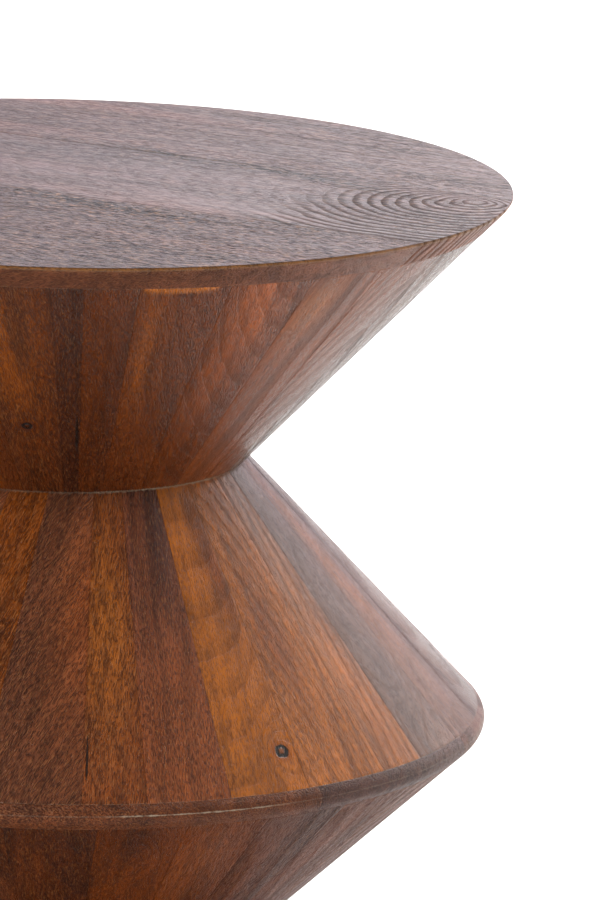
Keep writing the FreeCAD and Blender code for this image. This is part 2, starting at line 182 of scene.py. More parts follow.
# Staves on the side the camera sees: (panel, stave) counted from 0
SEEN = {
    "top_cone": {
        (0, 0): Look("toffee", "amber", (0.35, 0.75, 0.35, 0.4), 0.06, knot=(0.44, 0.33, 0.0026),
                     open_pores=0.85),
        (0, 1): Look("chocolate", check=(0.85, 0.30, 0.0009, 0.018), open_pores=0.85),
        (0, 2): Look("mahogany", "chocolate", (0.9, 0.6, 0.4, 0.5), open_pores=0.9),
        (0, 3): Look("mahogany", "amber", (0.22, 0.68, 0.16, 0.28), 0.05, sap=(0.03, 0.88),
                     eddy=(0.25, 0.74, 0.008), open_pores=0.85),
        (0, 4): Look("mahogany", "chestnut", (0.45, 0.9, 0.4, 0.4), 0.12, open_pores=0.65),
        (0, 5): Look("russet", "honey", (0.25, 0.85, 0.22, 0.12), open_pores=0.55),
        (1, 0): Look("russet", "rosewood", (0.8, 0.7, 0.4, 0.5), open_pores=0.5),
        # Staves on the right: their grey tones are partly a painted sheen
        (1, 1): Look("ash_and_sheen", "walnut", (0.5, 0.5, 0.5, 0.4)),
        (1, 2): Look("umber_and_sheen", "ash_and_sheen", (0.5, 0.5, 0.5, 0.4)),
        (1, 3): Look("ash_and_sheen", "umber_and_sheen", (0.3, 0.5, 0.5, 0.4)),
        (5, 5): Look("amber", "toffee", (0.8, 0.3, 0.4, 0.5)),
    },
    "upper_belly": {
        (7, 3): Look("amber", "cocoa", (0.75, 0.8, 0.3, 0.3), 0.2, open_pores=1.0),
        (0, 0): Look("rosewood", "teak", (1.0, 0.38, 0.42, 0.36), 0.40, open_pores=1.15),
        (0, 1): Look("russet", "honey", (0.4, 0.46, 0.45, 0.28), 0.15, open_pores=1.2,
                     check=(0.06, 0.86, 0.0007, 0.016)),
        (0, 2): Look("teak", "walnut", (0.60, 0.10, 1.60, 0.48), 0.05, open_pores=1.15),
        (0, 3): Look("honey", "russet", (0.85, 0.25, 0.22, 0.20), 0.12, open_pores=0.9,
                     knot=(0.82, 0.875, 0.0036)),
        (1, 0): Look("honey", "russet", (0.35, 0.52, 0.25, 0.20), 0.08, open_pores=0.8),
        (1, 1): Look("straw", "honey", (0.5, 0.8, 0.4, 0.3), open_pores=0.6),
        # Staves on the right: their grey tones are partly a painted sheen
        (1, 2): Look("ash_and_sheen", "umber_and_sheen", (0.45, 0.62, 0.45, 0.35), eddy=(0.5, 0.72, 0.014),
                     open_pores=0.35),
        (1, 3): Look("ash_and_sheen", "straw", (0.4, 0.4, 0.3, 0.5), open_pores=0.5),
        (2, 0): Look("umber_and_sheen", "ash_and_sheen", (0.4, 0.5, 0.4, 0.5)),
        (2, 1): Look("rosewood", "umber_and_sheen", (0.6, 0.5, 0.4, 0.5)),
    },
    "lower_belly": {
        (5, 4): Look("chocolate", "toffee", (0.3, 0.4, 0.3, 0.5)),
        (0, 0): Look("mahogany", "chocolate", (0.4, 0.93, 0.3, 0.12), eddy=(0.5, 0.82, 0.011)),
        (0, 1): Look("mahogany", "russet", (0.4, 0.8, 0.4, 0.25), 0.05),
        (0, 2): Look("chocolate", "toffee", (0.3, 0.6, 0.25, 0.5), open_pores=0.9),
        (0, 3): Look("mahogany", "toffee", (0.5, 0.4, 0.4, 0.4), open_pores=1.1),
        (0, 4): Look("toffee", "rosewood", (0.5, 0.5, 0.4, 0.4), open_pores=1.1),
    },
}

# Blemishes of staves: push is how far rings move, in sizes of the blemish, and a stretch under 1
# draws it out along the stave
EDDY_PUSH, EDDY_STRETCH = 1.1, 0.45
KNOT_PUSH, KNOT_STRETCH, KNOT_REACH = 3.0, 0.5, 2.6
NOWHERE = 9.0                   # a place outside any knot or check, in radii
CLOUD_RAGGED = 0.5              # how far the edge of the second tone is broken up
TONE_SPREAD = (0.95, 1.05)      # how far one stave is darker or paler than its tone
STAVE_PORE_SPREAD = 0.35
SAP_SIDE_FADES = (0.03, 0.05)   # as shares of the stave's width
SAP_DEPTH = (0.0022, 0.0046)    # where it starts to fade and ends, from the wide end
SAP_WAVE, SAP_WEIGHT = 0.0020, 0.85

# Pale glue in the seams of a cone: where it is smeared at the waist, in degrees
SMEAR_START, SMEAR_END = (-92, -74), (-40, -28)
WAIST_SEAM = 0.45               # distances at the waist count less, so glue is wider there
WAIST_GLUE, END_GLUE = 0.4, 0.5 # least share of glue at the waist, share at the wide end


def display(name):
    """A named tone as linear light."""
    c = np.array(TONES[name]) / 255
    return np.where(c <= 0.04045, c / 12.92, ((c + 0.055) / 1.055) ** 2.4)


def smooth(low, high, x):
    """0 below low, 1 above high, and a smooth cubic between them."""
    t = np.clip((x - low) / (high - low), 0, 1)
    return t * t * (3 - 2 * t)


def waves(x, y, rates, rng):
    """Mean of a few drawn sine waves over x and y, each scaled by its rate: between -1 and 1."""
    x, y = x * rates[0], y * rates[1]
    total = 0
    for _ in range(WAVE_COUNT):
        fx, fy = rng.normal(size=2)
        total = total + np.sin(fx * x + fy * y + rng.uniform(0, 6.3))
    return total / WAVE_COUNT


def edged(count, margin):
    """Places from 0 to 1 with two close rows at each end, so an edge can fall away in margin."""
    close, first = CLOSE_ROW * margin, FIRST_INNER_ROW * margin
    inner = np.linspace(first, 1 - first, count)
    return np.concatenate([[0, close, margin], inner, [1 - margin, 1 - close, 1]])


def sheet(ids):
    """Quads of a two-way grid of point numbers."""
    return np.stack([ids[:-1, :-1], ids[1:, :-1], ids[1:, 1:], ids[:-1, 1:]], -1).reshape(-1, 4)


def block_quads(points):
    """Quads of the six outside faces of a three-way grid of points, facing outwards.

    Each face takes its two grid directions in turn order, so its quads face along the third. If
    the three directions are left-handed, which the sign of their triple product at the middle of
    the block shows, every quad is turned round.
    """
    nu, nv, nw = points.shape[:3]
    ids = np.arange(nu * nv * nw).reshape(nu, nv, nw)
    quads = np.concatenate([
        sheet(ids[:, :, -1]), sheet(ids[:, :, 0].T), sheet(ids[-1]), sheet(ids[0].T),
        sheet(ids[:, -1].T), sheet(ids[:, 0])])
    u, v = nu // 2, nv // 2
    along_u = points[u, v, 0] - points[u - 1, v, 0]
    along_v = points[u, v, 0] - points[u, v - 1, 0]
    along_w = points[u, v, -1] - points[u, v, 0]
    return quads if np.dot(np.cross(along_u, along_v), along_w) > 0 else quads[:, ::-1]


def joined_blocks(blocks):
    """Quads, points and fields of several blocks as one mesh.

    A block is (points, fields). The inside points of a grid aren't on a face and are left out.
    """
    quads, points, fields, start = [], [], {}, 0
    for grid, values in blocks:
        used, faces = np.unique(block_quads(grid), return_inverse=True)
        quads.append(faces.reshape(-1, 4) + start)
        points.append(grid.reshape(-1, 3)[used])
        for name, value in values.items():
            flat = np.broadcast_to(value, grid.shape[:3] + value.shape[3:])
            fields.setdefault(name, []).append(flat.reshape((-1,) + value.shape[3:])[used])
        start += len(used)
    return (np.concatenate(quads), np.concatenate(points),
            {name: np.concatenate(parts) for name, parts in fields.items()})


def timber_piece(node, blocks, finish):
    """One piece that stands for a CAD node, from its blocks of points and their fields."""
    quads, points, fields = joined_blocks(blocks)
    mesh = bpy.data.meshes.new(node + "_timber")
    mesh.vertices.add(len(points))
    mesh.vertices.foreach_set("co", points.astype(np.float32).ravel())
    mesh.loops.add(quads.size)
    mesh.loops.foreach_set("vertex_index", quads.astype(np.int32).ravel())
    mesh.polygons.add(len(quads))
    mesh.polygons.foreach_set("loop_start", np.arange(0, quads.size, 4, dtype=np.int32))
    mesh.polygons.foreach_set("use_smooth", np.ones(len(quads), bool))
    mesh.update(calc_edges=True)
    mesh.set_sharp_from_angle(angle=math.radians(40))
    for name, value in fields.items():
        kind, key = ("FLOAT", "value") if value.ndim == 1 else ("FLOAT_VECTOR", "vector")
        field = mesh.attributes.new(name, kind, "POINT")
        field.data.foreach_set(key, value.astype(np.float32).ravel())
    piece = bpy.data.objects.new(node + "_timber", mesh)
    bpy.context.collection.objects.link(piece)
    mesh.materials.append(finish)
    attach(piece, "root")
    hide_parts(node)


def growth_rings(x, y, l, under, rng):
    """Distance from the pith of the log, at places across, into and along the timber.

    The pith is a line that passes some way under the face and tilts along the timber, so its
    rings cut the face in long arches. under is the range of its depth.
    """
    x0, y0 = rng.uniform(-PITH_SIDE, PITH_SIDE), rng.uniform(*under)
    tilt_x = rng.uniform(-PITH_TILT_SIDE, PITH_TILT_SIDE)
    tilt_y = rng.uniform(-PITH_TILT_UNDER, PITH_TILT_UNDER)
    bend = PITH_BEND * waves(x, l, PITH_BENDS, rng)
    return np.hypot(x - x0 - tilt_x * l, y + y0 + tilt_y * l) + bend


def stave_look(cone, panel, number, rng):
    """A stave's own look where the camera sees it, or else a plain one drawn from the front."""
    seen = SEEN.get(cone.name, SEEN["upper_belly"])
    front = [look for (seen_panel, _), look in seen.items() if seen_panel == 0]
    drawn = front[rng.integers(len(front))].plain()
    return seen.get((panel, number), drawn) if cone.name in SEEN else drawn


def stave_block(cone, panel, number):
    """One stave as a block: across, along from the narrow end, and from its back to its face.

    The joint runs straight from its narrow to its wide end. The face is the cone, less a small
    dip at the joints and ends and a shallow wave; the back is a flat plane.
    """
    rng = np.random.default_rng([STAVE_SEED, len(cone.name), cone.panels, panel, number])
    look = stave_look(cone, panel, number, rng)
    panel_angle = 2 * math.pi / cone.panels
    widths = panel_angle * cone.shares
    start = cone.joint + panel_angle * panel + widths[:number].sum()
    width = widths[number]
    wide_radius = WAIST_RADIUS + cone.slope * cone.height
    across, along, face = np.meshgrid(*(edged(*rows) for rows in STAVE_ROWS), (0.0, 1.0),
                                      indexing="ij")
    radius = WAIST_RADIUS + cone.slope * cone.height * along
    narrow, wide = start + cone.lean, start
    joint = np.unwrap(np.arctan2(
        WAIST_RADIUS * np.sin(narrow) * (1 - along) + wide_radius * np.sin(wide) * along,
        WAIST_RADIUS * np.cos(narrow) * (1 - along) + wide_radius * np.cos(wide) * along), axis=1)
    angle = joint + width * across
    x = radius * width * (across - 0.5)
    length = cone.height * math.hypot(1, cone.slope)
    l = along * length
    to_joint = radius * width * np.minimum(across, 1 - across)
    to_end = length * np.minimum(along, 1 - along)
    dip = (JOINT_DIP * (1 - smooth(0, JOINT_DIP_REACH, to_joint))
           + END_DIP * (1 - smooth(0, END_DIP_REACH, to_end)))
    hollow = HAND_WAVE * (0.5 + 0.5 * waves(x, l, STAVE_HOLLOWS, rng))
    dip = dip + hollow * smooth(0, HAND_WAVE_FADE, to_end)
    middle = start + (width + cone.lean) / 2
    back = (radius - STAVE * math.hypot(1, cone.slope)) / np.cos(angle - middle)
    r = np.where(face > 0, radius - dip, back)
    level = cone.waist + cone.direction * cone.height * along
    points = np.stack([r * np.cos(angle), r * np.sin(angle), level], -1)
    return points, stave_fields(look, across, along, x, STAVE * (1 - face), l, radius * width,
                                length, to_joint, np.degrees(angle), rng)


def stave_fields(look, across, along, x, y, l, width, length, to_joint, degrees, rng):
    """Grain, rings, tone, blemishes, seams and pores of a stave at its grid points."""
    ring = growth_rings(x, y, l - length / 2, STAVE_PITH, rng)
    ring = pushed_rings(look, ring, across, along, width, length)
    tone = stave_tone(look, across, along, x, l, length, rng)
    seam, glue = glue_seams(l, length, degrees, rng)
    grain = np.stack([x + look.slant * (l - length / 2), y, l], -1)
    grain = grain + rng.uniform(0, GRAIN_SHIFT, 3)
    contrast = np.full_like(x, rng.uniform(*STAVE_RINGS))
    opened = look.open_pores * (1 + STAVE_PORE_SPREAD * waves(x, l, STAVE_PORE_FIELDS, rng))
    return {"grain": grain, "tone": tone, "open_pores": opened,
            "ring": np.stack([ring, contrast, np.full_like(x, RING_WOBBLE)], -1),
            "knot": blemish_place(look, across, along, width, length),
            "edges": np.stack([seam, glue, to_joint], -1)}


def pushed_rings(look, ring, across, along, width, length):
    """Rings pushed outwards round an eddy or a knot: each adds a bell of its own size."""
    if look.eddy:
        ex, el, size = look.eddy
        off = np.hypot((across - ex) * width, EDDY_STRETCH * (along - el) * length) / size
        ring = ring + EDDY_PUSH * size * np.exp(-off * off)
    if look.knot:
        kx, kl, size = look.knot
        dx, dl = (across - kx) * width, (along - kl) * length
        off = (dx * dx + KNOT_STRETCH * dl * dl) / (KNOT_REACH * size) ** 2
        ring = ring + KNOT_PUSH * size * np.exp(-off)
    return ring


def blemish_place(look, across, along, width, length):
    """Place in a knot or a check, at distance 1 on its rim, and 0 for a knot or 1 for a check."""
    if look.check:
        cx, cl, half_width, half_length = look.check
        kind = np.ones_like(across)
    elif look.knot:
        cx, cl, half_width = look.knot
        half_length, kind = half_width, np.zeros_like(across)
    else:
        return np.full(across.shape + (3,), NOWHERE)
    return np.stack([(across - cx) * width / half_width, (along - cl) * length / half_length,
                     kind], -1)


def stave_tone(look, across, along, x, l, length, rng):
    """Main tone, the second tone as a ragged bell over it, and sapwood at the wide end."""
    px, pl, half_x, half_l = look.lay
    patch = np.exp(-(((across - px) / half_x) ** 2 + ((along - pl) / half_l) ** 2))
    ragged = 1 + CLOUD_RAGGED * waves(x, l, STAVE_CLOUDS, rng)
    patch = np.clip(patch * ragged, 0, 1)[..., None]
    tone = display(look.tone) * (1 - patch) + display(look.second) * patch
    tone = tone * rng.uniform(*TONE_SPREAD)
    if look.sap:
        strip = (smooth(0, SAP_SIDE_FADES[0], across - look.sap[0])
                 * smooth(0, SAP_SIDE_FADES[1], look.sap[1] - across))
        edge = length - l - SAP_WAVE * waves(x, l, SAP_WAVES, rng)
        strip = (SAP_WEIGHT * strip * (1 - smooth(*SAP_DEPTH, edge)))[..., None]
        tone = tone * (1 - strip) + display("sap") * strip
    return tone


def glue_seams(l, length, degrees, rng):
    """Distance from the nearer end's seam, and how much pale glue shows there."""
    seam = np.minimum(WAIST_SEAM * l, length - l)
    glue = 0.5 + 0.5 * waves(degrees, l, GLUE_GAPS, rng)
    smear = smooth(*SMEAR_START, degrees) * (1 - smooth(*SMEAR_END, degrees))
    at_waist = np.maximum(WAIST_GLUE, smear) * (0.5 + 0.5 * glue)
    return seam, np.where(l < length / 2, at_waist, END_GLUE * glue)


class Slab:
    """A round slab of boards.

    levels, radii: its rim from bottom to top
    joints: where its joints lie across the grain, as shares of radius
    grain: angle of the boards in degrees
    tones, faces: tones of the boards, and of their faces where these are stained
    open_pores: how open each board's pores are
    facing: 1 where its upper side is its face, -1 for its underside
    """

    def __init__(self, name, levels, radii, joints, grain, tones, faces, open_pores, radius,
                 facing=1):
        self.name, self.levels, self.radii = name, np.array(levels), np.array(radii)
        self.joints, self.grain = np.array(joints) * radius, math.radians(grain)
        self.tones, self.faces, self.open_pores = tones, faces, open_pores
        self.facing, self.face = facing, len(levels) - 1 if facing > 0 else 0


def end_rim(face_level, direction):
    """Rim of the top or base slab: up the cone's slope, round the land, on to the face."""
    up = np.array(RIM_SLOPE_SHARES) * (SLAB - RIM_LAND)
    slope = RIM_RADIUS - END_SLOPE * (SLAB - RIM_LAND - up)
    slope[-1] -= LAND_EASE
    levels = np.concatenate([up, SLAB - RIM_LAND * np.array(RIM_LAND_SHARES)])
    radii = np.concatenate([slope, RIM_RADIUS - np.array(LAND_ROUNDING)])
    levels = face_level - direction * (SLAB - levels)
    return (levels, radii) if direction > 0 else (levels[::-1], radii[::-1])


def nose_rim():
    """Rim of the belly slab: two slopes that meet in an arc of NOSE_RADIUS, tangent to both.

    In the plane of level and radius the slopes are lines through the sharp nose. The arc's
    middle lies on the line that halves their angle, and its ends are the feet of the square
    lines from that middle to the slopes.
    """
    up = np.array([1.0, -UPPER_SLOPE]) / math.hypot(1, UPPER_SLOPE)
    down = np.array([-1.0, -LOWER_SLOPE]) / math.hypot(1, LOWER_SLOPE)
    half = math.acos(np.dot(up, down)) / 2
    inwards = (up + down) / np.linalg.norm(up + down)
    middle = inwards * NOSE_RADIUS / math.sin(half)
    cut = NOSE_RADIUS / math.tan(half)
    first, last = (np.arctan2(*(foot - middle)) for foot in (down * cut, up * cut))
    turn = np.linspace(first, last, NOSE_ROWS)
    arc = middle + NOSE_RADIUS * np.stack([np.sin(turn), np.cos(turn)], -1)
    near = NOSE_SLOPE_END * cut
    below = down * np.linspace(SLAB / 2 / -down[0], near, NOSE_SLOPE_ROWS)[:, None]
    above = up * np.linspace(near, SLAB / 2 / up[0], NOSE_SLOPE_ROWS)[:, None]
    line = np.concatenate([below, arc, above])
    return BELLY_LEVEL + line[:, 0], BELLY_RADIUS + line[:, 1]


SLABS = (
    Slab("top", *end_rim(TOP_LEVEL, 1), (-0.545, -0.153, 0.394), -31.0,
         ("rosewood", "rosewood", "russet", "cocoa"), ("plum", "smoke", "smoke", "plum"),
         (1.8, 2.1, 0.9, 1.0), RIM_RADIUS),
    Slab("belly", *nose_rim(), (-0.616, -0.052, 0.49), -50.0,
         ("cocoa", "cocoa", "plum", "toffee"), (), (1.0, 1.0, 0.8, 0.8), BELLY_RADIUS),
    Slab("base", *end_rim(BASE_LEVEL, -1), (-0.49, -0.02, 0.46), 31.0,
         ("cocoa", "toffee", "plum", "cocoa"), ("smoke", "plum", "smoke", "plum"),
         (1.0, 0.8, 0.9, 1.0), RIM_RADIUS, facing=-1),
)

# Dark stained streaks (shade under 0) and pale bands of painted sheen (over 0) in the top:
# (across, along, half width, half length, lean, shade), lengths as shares of the rim radius, lean
# as width per length
TOP_STAINS_AND_SHEEN = (
    (0.355, 0.42, 0.032, 0.26, -0.20, -0.85), (-0.130, 0.61, 0.022, 0.16, -0.28, -0.80),
    (-0.170, 0.04, 0.035, 0.16, -0.15, -0.60), (0.400, 0.02, 0.018, 0.12, -0.30, -0.70),
    (-0.220, 0.28, 0.040, 0.20, -0.08, -0.60), (0.420, -0.22, 0.030, 0.30, -0.10, -0.45),
    (-0.060, 0.43, 0.055, 0.45, -0.18, 0.60), (0.120, -0.06, 0.090, 0.32, 0.05, 0.40),
)

# Finish of the boards
BOARD_GRAIN = 0.6               # scale of the grain coordinates: patterns are larger than in staves
BOARD_PORE_SPREAD = 0.4
STAIN_AND_SHEEN_PORES = 1.1               # how far a dark streak opens the pores, and a pale band of painted sheen closes them
RIM_PORES = 0.8                 # how open the pores of a rim are
CLOUD_EDGE = (-0.2, 0.7)        # where russet clouds start and are full on their waves
CLOUD_SHARE, BELLY_CLOUD_SHARE = 0.5, 0.12
FACE_SHADE, FACE_CLOUD = 0.70, 0.6
FACE_DEPTH = (0.0002, 0.0004)   # where the stained face's tone ends on the land, from the face
LAND_DEPTH = (0.0012, 0.0020)   # where the land's worn tone ends
LINE_GLUE = 0.15                # how pale the line under the land is, and the line on the nose
NOSE_LINE = 0.0012              # height of the nose's line over the belly's level
NOSE_LINE_HIGHLIGHT = 0.75           # how much paler it is between these angles, in degrees: a painted highlight along the front of the nose
NOSE_LINE_START, NOSE_LINE_END = (-84, -78), (-64, -57)

# Eye of a branch in the third board of the top: across from the board's middle and along it
EYE_BOARD, EYE_ACROSS, EYE_ALONG = 2, 0.0490, 0.197
EYE_STRETCH, EYE_LENGTH = 0.16, 0.11        # rings per length far along, and where that is reached
EYE_LEAN, EYE_LEAN_LENGTH = 0.22, 0.10
EYE_BEHIND, EYE_BEFORE = 1.5, 0.75          # rings per length across, behind and before the tips
EYE_CONTRAST, EYE_FADE = 0.80, (0.040, 0.085)
EYE_WOBBLE, EYE_CALM, EYE_CALM_FADE = 1.1, 0.4, (0.05, 0.2)


def board_block(slab, number):
    """One board as a block: across the slab, along its grain, and from bottom to top.

    An inner board lies between two straight joints, and each line of it along the grain ends on
    the rim. An outer board's lines follow equal steps of the rim's angle from its joint to near
    the board's outermost place, where the last line bows out to the rim's own arc.
    """
    rng = np.random.default_rng([BOARD_SEED, len(slab.name), number])
    across, along, index = np.meshgrid(edged(*BOARD_ROWS), np.linspace(-1, 1, BOARD_LENGTH_ROWS),
                                       np.arange(len(slab.levels)), indexing="ij")
    radius, level = slab.radii[index], slab.levels[index]
    if number in (0, len(slab.joints)):
        side = -1 if number == 0 else 1
        joint = abs(slab.joints[0 if number == 0 else -1])
        wide = np.arccos(joint / radius)
        angle = wide + (OUTER_ANGLE - wide) * across
        l = along * radius * np.sin(angle)
        a = radius * np.cos(angle)
        a = side * (a + across ** OUTER_BOW * (np.sqrt(radius ** 2 - l ** 2) - a))
        to_joint = abs(a) - joint
    else:
        near, far = slab.joints[number - 1], slab.joints[number]
        a = near + (far - near) * across
        l = along * np.sqrt(radius ** 2 - a ** 2)
        to_joint = np.minimum(a - near, far - a)
    dip = (BOARD_DIP * (1 - smooth(0, BOARD_DIP_REACH, to_joint))
           + BOARD_WAVE * (0.5 + 0.5 * waves(a, l, BOARD_HOLLOWS, rng)))
    level = level - np.where(index == slab.face, slab.facing * dip, 0)
    c, s = math.cos(slab.grain), math.sin(slab.grain)
    points = np.stack([l * c - a * s, l * s + a * c, level], -1)
    degrees = np.degrees(np.arctan2(points[..., 1], points[..., 0]))
    return points, board_fields(slab, number, a, l, level, to_joint, degrees, rng)


def board_fields(slab, number, a, l, level, to_joint, degrees, rng):
    """Grain, rings, tone, pale lines and pores of a board at its grid points.

    The belly's slab shows its nose alone, with one pale line on it, paler at the front as a
    painted highlight.
    The top and base have a stained, open-pored face, a worn land and a plain rim; the top's face
    also has dark streaks and pale bands of painted sheen.
    """
    top = slab.name == "top"
    x, y = a - 0.5 * (a.min() + a.max()), abs(level - slab.levels[slab.face])
    ring = growth_rings(x, y, l, BOARD_PITH, rng)
    contrast, wobble = np.full_like(a, BOARD_RINGS), np.full_like(a, RING_WOBBLE)
    if top and number == EYE_BOARD:
        ring, contrast, wobble = branch_eye(x - EYE_ACROSS, l - EYE_ALONG)
    patch = smooth(*CLOUD_EDGE, waves(x, l, BOARD_CLOUDS, rng))[..., None]
    cloud = (BELLY_CLOUD_SHARE if slab.name == "belly" else CLOUD_SHARE) * patch
    tone = display(slab.tones[number]) * (1 - cloud) + display("russet") * cloud
    # Dark stained streaks and pale bands of painted sheen on the top's face
    stain_and_sheen = top_stain_and_sheen(a / RIM_RADIUS, l / RIM_RADIUS) if top else np.zeros_like(a)
    opened = np.full_like(a, slab.open_pores[number])
    if slab.name == "belly":
        # The nose's pale line, with a painted highlight added along its front
        line = level - BELLY_LEVEL - NOSE_LINE
        shown = smooth(*NOSE_LINE_START, degrees) * (1 - smooth(*NOSE_LINE_END, degrees))
        glue = LINE_GLUE + NOSE_LINE_HIGHLIGHT * shown
    else:
        line, glue = y - RIM_LAND, np.full_like(a, LINE_GLUE)
        face = (1 - smooth(*FACE_DEPTH, y))[..., None]
        land = (smooth(*FACE_DEPTH, y) * (1 - smooth(*LAND_DEPTH, y)))[..., None]
        opened = RIM_PORES + (opened - RIM_PORES) * face[..., 0]
        # The face's stained tone, darkened by the top's streaks and paled by its bands of painted
        # sheen
        stained = (1 + stain_and_sheen)[..., None] * (FACE_SHADE + FACE_CLOUD * patch)
        tone = (tone * (1 - face - land) + display(slab.faces[number]) * stained * face
                + display("khaki") * land)
    grain = BOARD_GRAIN * np.stack([x, y, l], -1) + rng.uniform(0, GRAIN_SHIFT, 3)
    opened = opened * (1 + BOARD_PORE_SPREAD * waves(x, l, BOARD_PORE_FIELDS, rng))
    return {"grain": grain, "tone": tone, "open_pores": opened * (1 - STAIN_AND_SHEEN_PORES * stain_and_sheen),
            "ring": np.stack([ring, contrast, wobble], -1),
            "knot": np.full(a.shape + (3,), NOWHERE),
            "edges": np.stack([line, glue, to_joint], -1)}


def top_stain_and_sheen(across, along):
    """Sum of the dark streaks and the pale bands of painted sheen in the top: each a bell in both
    directions, leaning across the grain.
    """
    total = 0
    for a, l, half_a, half_l, lean, shade in TOP_STAINS_AND_SHEEN:
        off = (across - a - lean * (along - l)) / half_a
        total = total + shade * np.exp(-off * off - ((along - l) / half_l) ** 2)
    return total


def branch_eye(x, l):
    """Rings round the root of a branch at x = l = 0: distance, contrast and wobble.

    Rings are oval near the eye, and their tips lie on a line that leans across the board. They
    crowd together behind that line. Farther along the board they draw out into long lines, and
    their contrast fades.
    """
    far = np.abs(l)
    drawn = (EYE_STRETCH * far
             + (1 - EYE_STRETCH) * EYE_LENGTH * (1 - np.exp(-far / EYE_LENGTH)))
    side = x + EYE_LEAN * EYE_LEAN_LENGTH * (1 - np.exp(-far / EYE_LEAN_LENGTH))
    side = np.where(side > 0, EYE_BEHIND, EYE_BEFORE) * side
    contrast = BOARD_RINGS + EYE_CONTRAST * (1 - smooth(*EYE_FADE, far))
    return np.hypot(side, drawn), contrast, EYE_WOBBLE - EYE_CALM * smooth(*EYE_CALM_FADE, far)


class Nodes:
    """Short ways to add shader nodes to one tree."""

    def __init__(self, tree):
        self.tree = tree

    def add(self, kind, values=(), **settings):
        """A node; values maps input names or numbers to a link or a plain value."""
        node = self.tree.nodes.new(kind)
        for name, value in settings.items():
            setattr(node, name, value)
        for key, value in dict(values).items():
            self.put(node.inputs[key], value)
        return node

    def put(self, socket, value):
        """Links an output to a socket, or sets the socket to a plain value."""
        if isinstance(value, bpy.types.NodeSocket):
            self.tree.links.new(value, socket)
        else:
            socket.default_value = value

    def math(self, operation, a, b=0.0, c=0.0):
        """One sum on numbers."""
        return self.add("ShaderNodeMath", {0: a, 1: b, 2: c}, operation=operation).outputs[0]

    def total(self, start, weights, values):
        """A start value plus each named value times its weight."""
        for name, weight in weights.items():
            start = self.math("MULTIPLY_ADD", values[name], weight, start)
        return start

    def parts(self, vector):
        """The X, Y and Z of a vector."""
        return self.add("ShaderNodeSeparateXYZ", {0: vector}).outputs

    def stretch(self, vector, sizes):
        """A vector divided by three lengths, so that a pattern's cells take that size."""
        node = self.add("ShaderNodeVectorMath", {0: vector, 1: tuple(1 / s for s in sizes)},
                        operation="MULTIPLY")
        return node.outputs[0]

    def noise(self, vector, sizes, detail, distortion):
        """Soft noise from 0 to 1 with cells of the given sizes."""
        return self.add("ShaderNodeTexNoise", {"Vector": self.stretch(vector, sizes), "Scale": 1.0,
                                               "Detail": detail, "Distortion": distortion}
                        ).outputs["Fac"]

    def ramp(self, value, low, high, start=0.0, end=1.0):
        """A smooth step from start at low to end at high."""
        return self.add("ShaderNodeMapRange", {"Value": value, "From Min": low, "From Max": high,
                                               "To Min": start, "To Max": end},
                        interpolation_type="SMOOTHSTEP").outputs[0]

    def fall(self, value, low, high):
        """A smooth step from 1 at low to 0 at high."""
        return self.ramp(value, low, high, 1.0, 0.0)

    def mix(self, share, a, b):
        """A blend of two colours."""
        node = self.add("ShaderNodeMix", data_type="RGBA", blend_type="MIX")
        for key, value in ((0, share), (6, a), (7, b)):
            self.put(node.inputs[key], value)
        return node.outputs[2]

    def scaled(self, colour, by):
        """A colour times another."""
        return self.add("ShaderNodeVectorMath", {0: colour, 1: by}, operation="MULTIPLY").outputs[0]


def group(name, inputs, outputs):
    """An empty shader node group with named sockets: (tree nodes, input sockets, output node)."""
    tree = bpy.data.node_groups.new(name, "ShaderNodeTree")
    for label, kind in inputs:
        tree.interface.new_socket(label, in_out="INPUT", socket_type="NodeSocket" + kind)
    for label, kind in outputs:
        tree.interface.new_socket(label, in_out="OUTPUT", socket_type="NodeSocket" + kind)
    nodes = Nodes(tree)
    return nodes, nodes.add("NodeGroupInput").outputs, nodes.add("NodeGroupOutput")


# Soft patterns in timber: cell across, into and along the grain in metres, detail, distortion
PATTERNS = {
    "fibres": ((0.0007, 0.0007, 0.026), 4.0, 0.0),
    "streaks": ((0.0036, 0.0036, 0.120), 3.0, 0.25),
    "figure": ((0.013, 0.013, 0.075), 4.0, 0.6),
    "mottle": ((0.0042, 0.0042, 0.012), 3.0, 0.5),
    "pebble": ((0.00042, 0.00042, 0.0032), 2.0, 0.25),
    "pore_fields": ((0.007, 0.007, 0.030), 2.0, 0.0),
    "glue_lumps": ((0.0016, 0.0016, 0.0016), 2.0, 0.0),
    "knot_edge": ((0.0020, 0.0020, 0.0020), 2.0, 0.0),
}
PORE_CELL = (0.00065, 0.00065, 0.0040)

# Where marks start and are full on their pattern, or at what distance in metres from an edge
LATE_WOOD, LATE_WOOD_END = (0.35, 0.92), (0.93, 1.0)        # within one ring
PORE_SIZE = (0.30, 0.62, 0.10, 0.40)                        # small to large, by pore field
PORE_EDGE, PORE_WEIGHT = (-0.14, 0.02), 0.8
# The crest range places painted glints on the tops of the pebbled surface
PIT, CREST_GLINT, STREAK = (0.38, 0.44), (0.58, 0.64), (0.30, 0.47)
JOINT_LINE, SEAM_LINE, SEAM_RAGGED = (0.0001, 0.0006), (0.0005, 0.0010), 0.0010
KNOT_RAGGED = 0.5
KNOT_RING, KNOT_RIM = (0.25, 0.62, 0.35, 1.0), (0.92, 1.15)
KNOT_HEART, CHECK_SLIT = (1.0, 2.4, 0.85, 0.0), (0.55, 1.0, 0.9, 0.0)

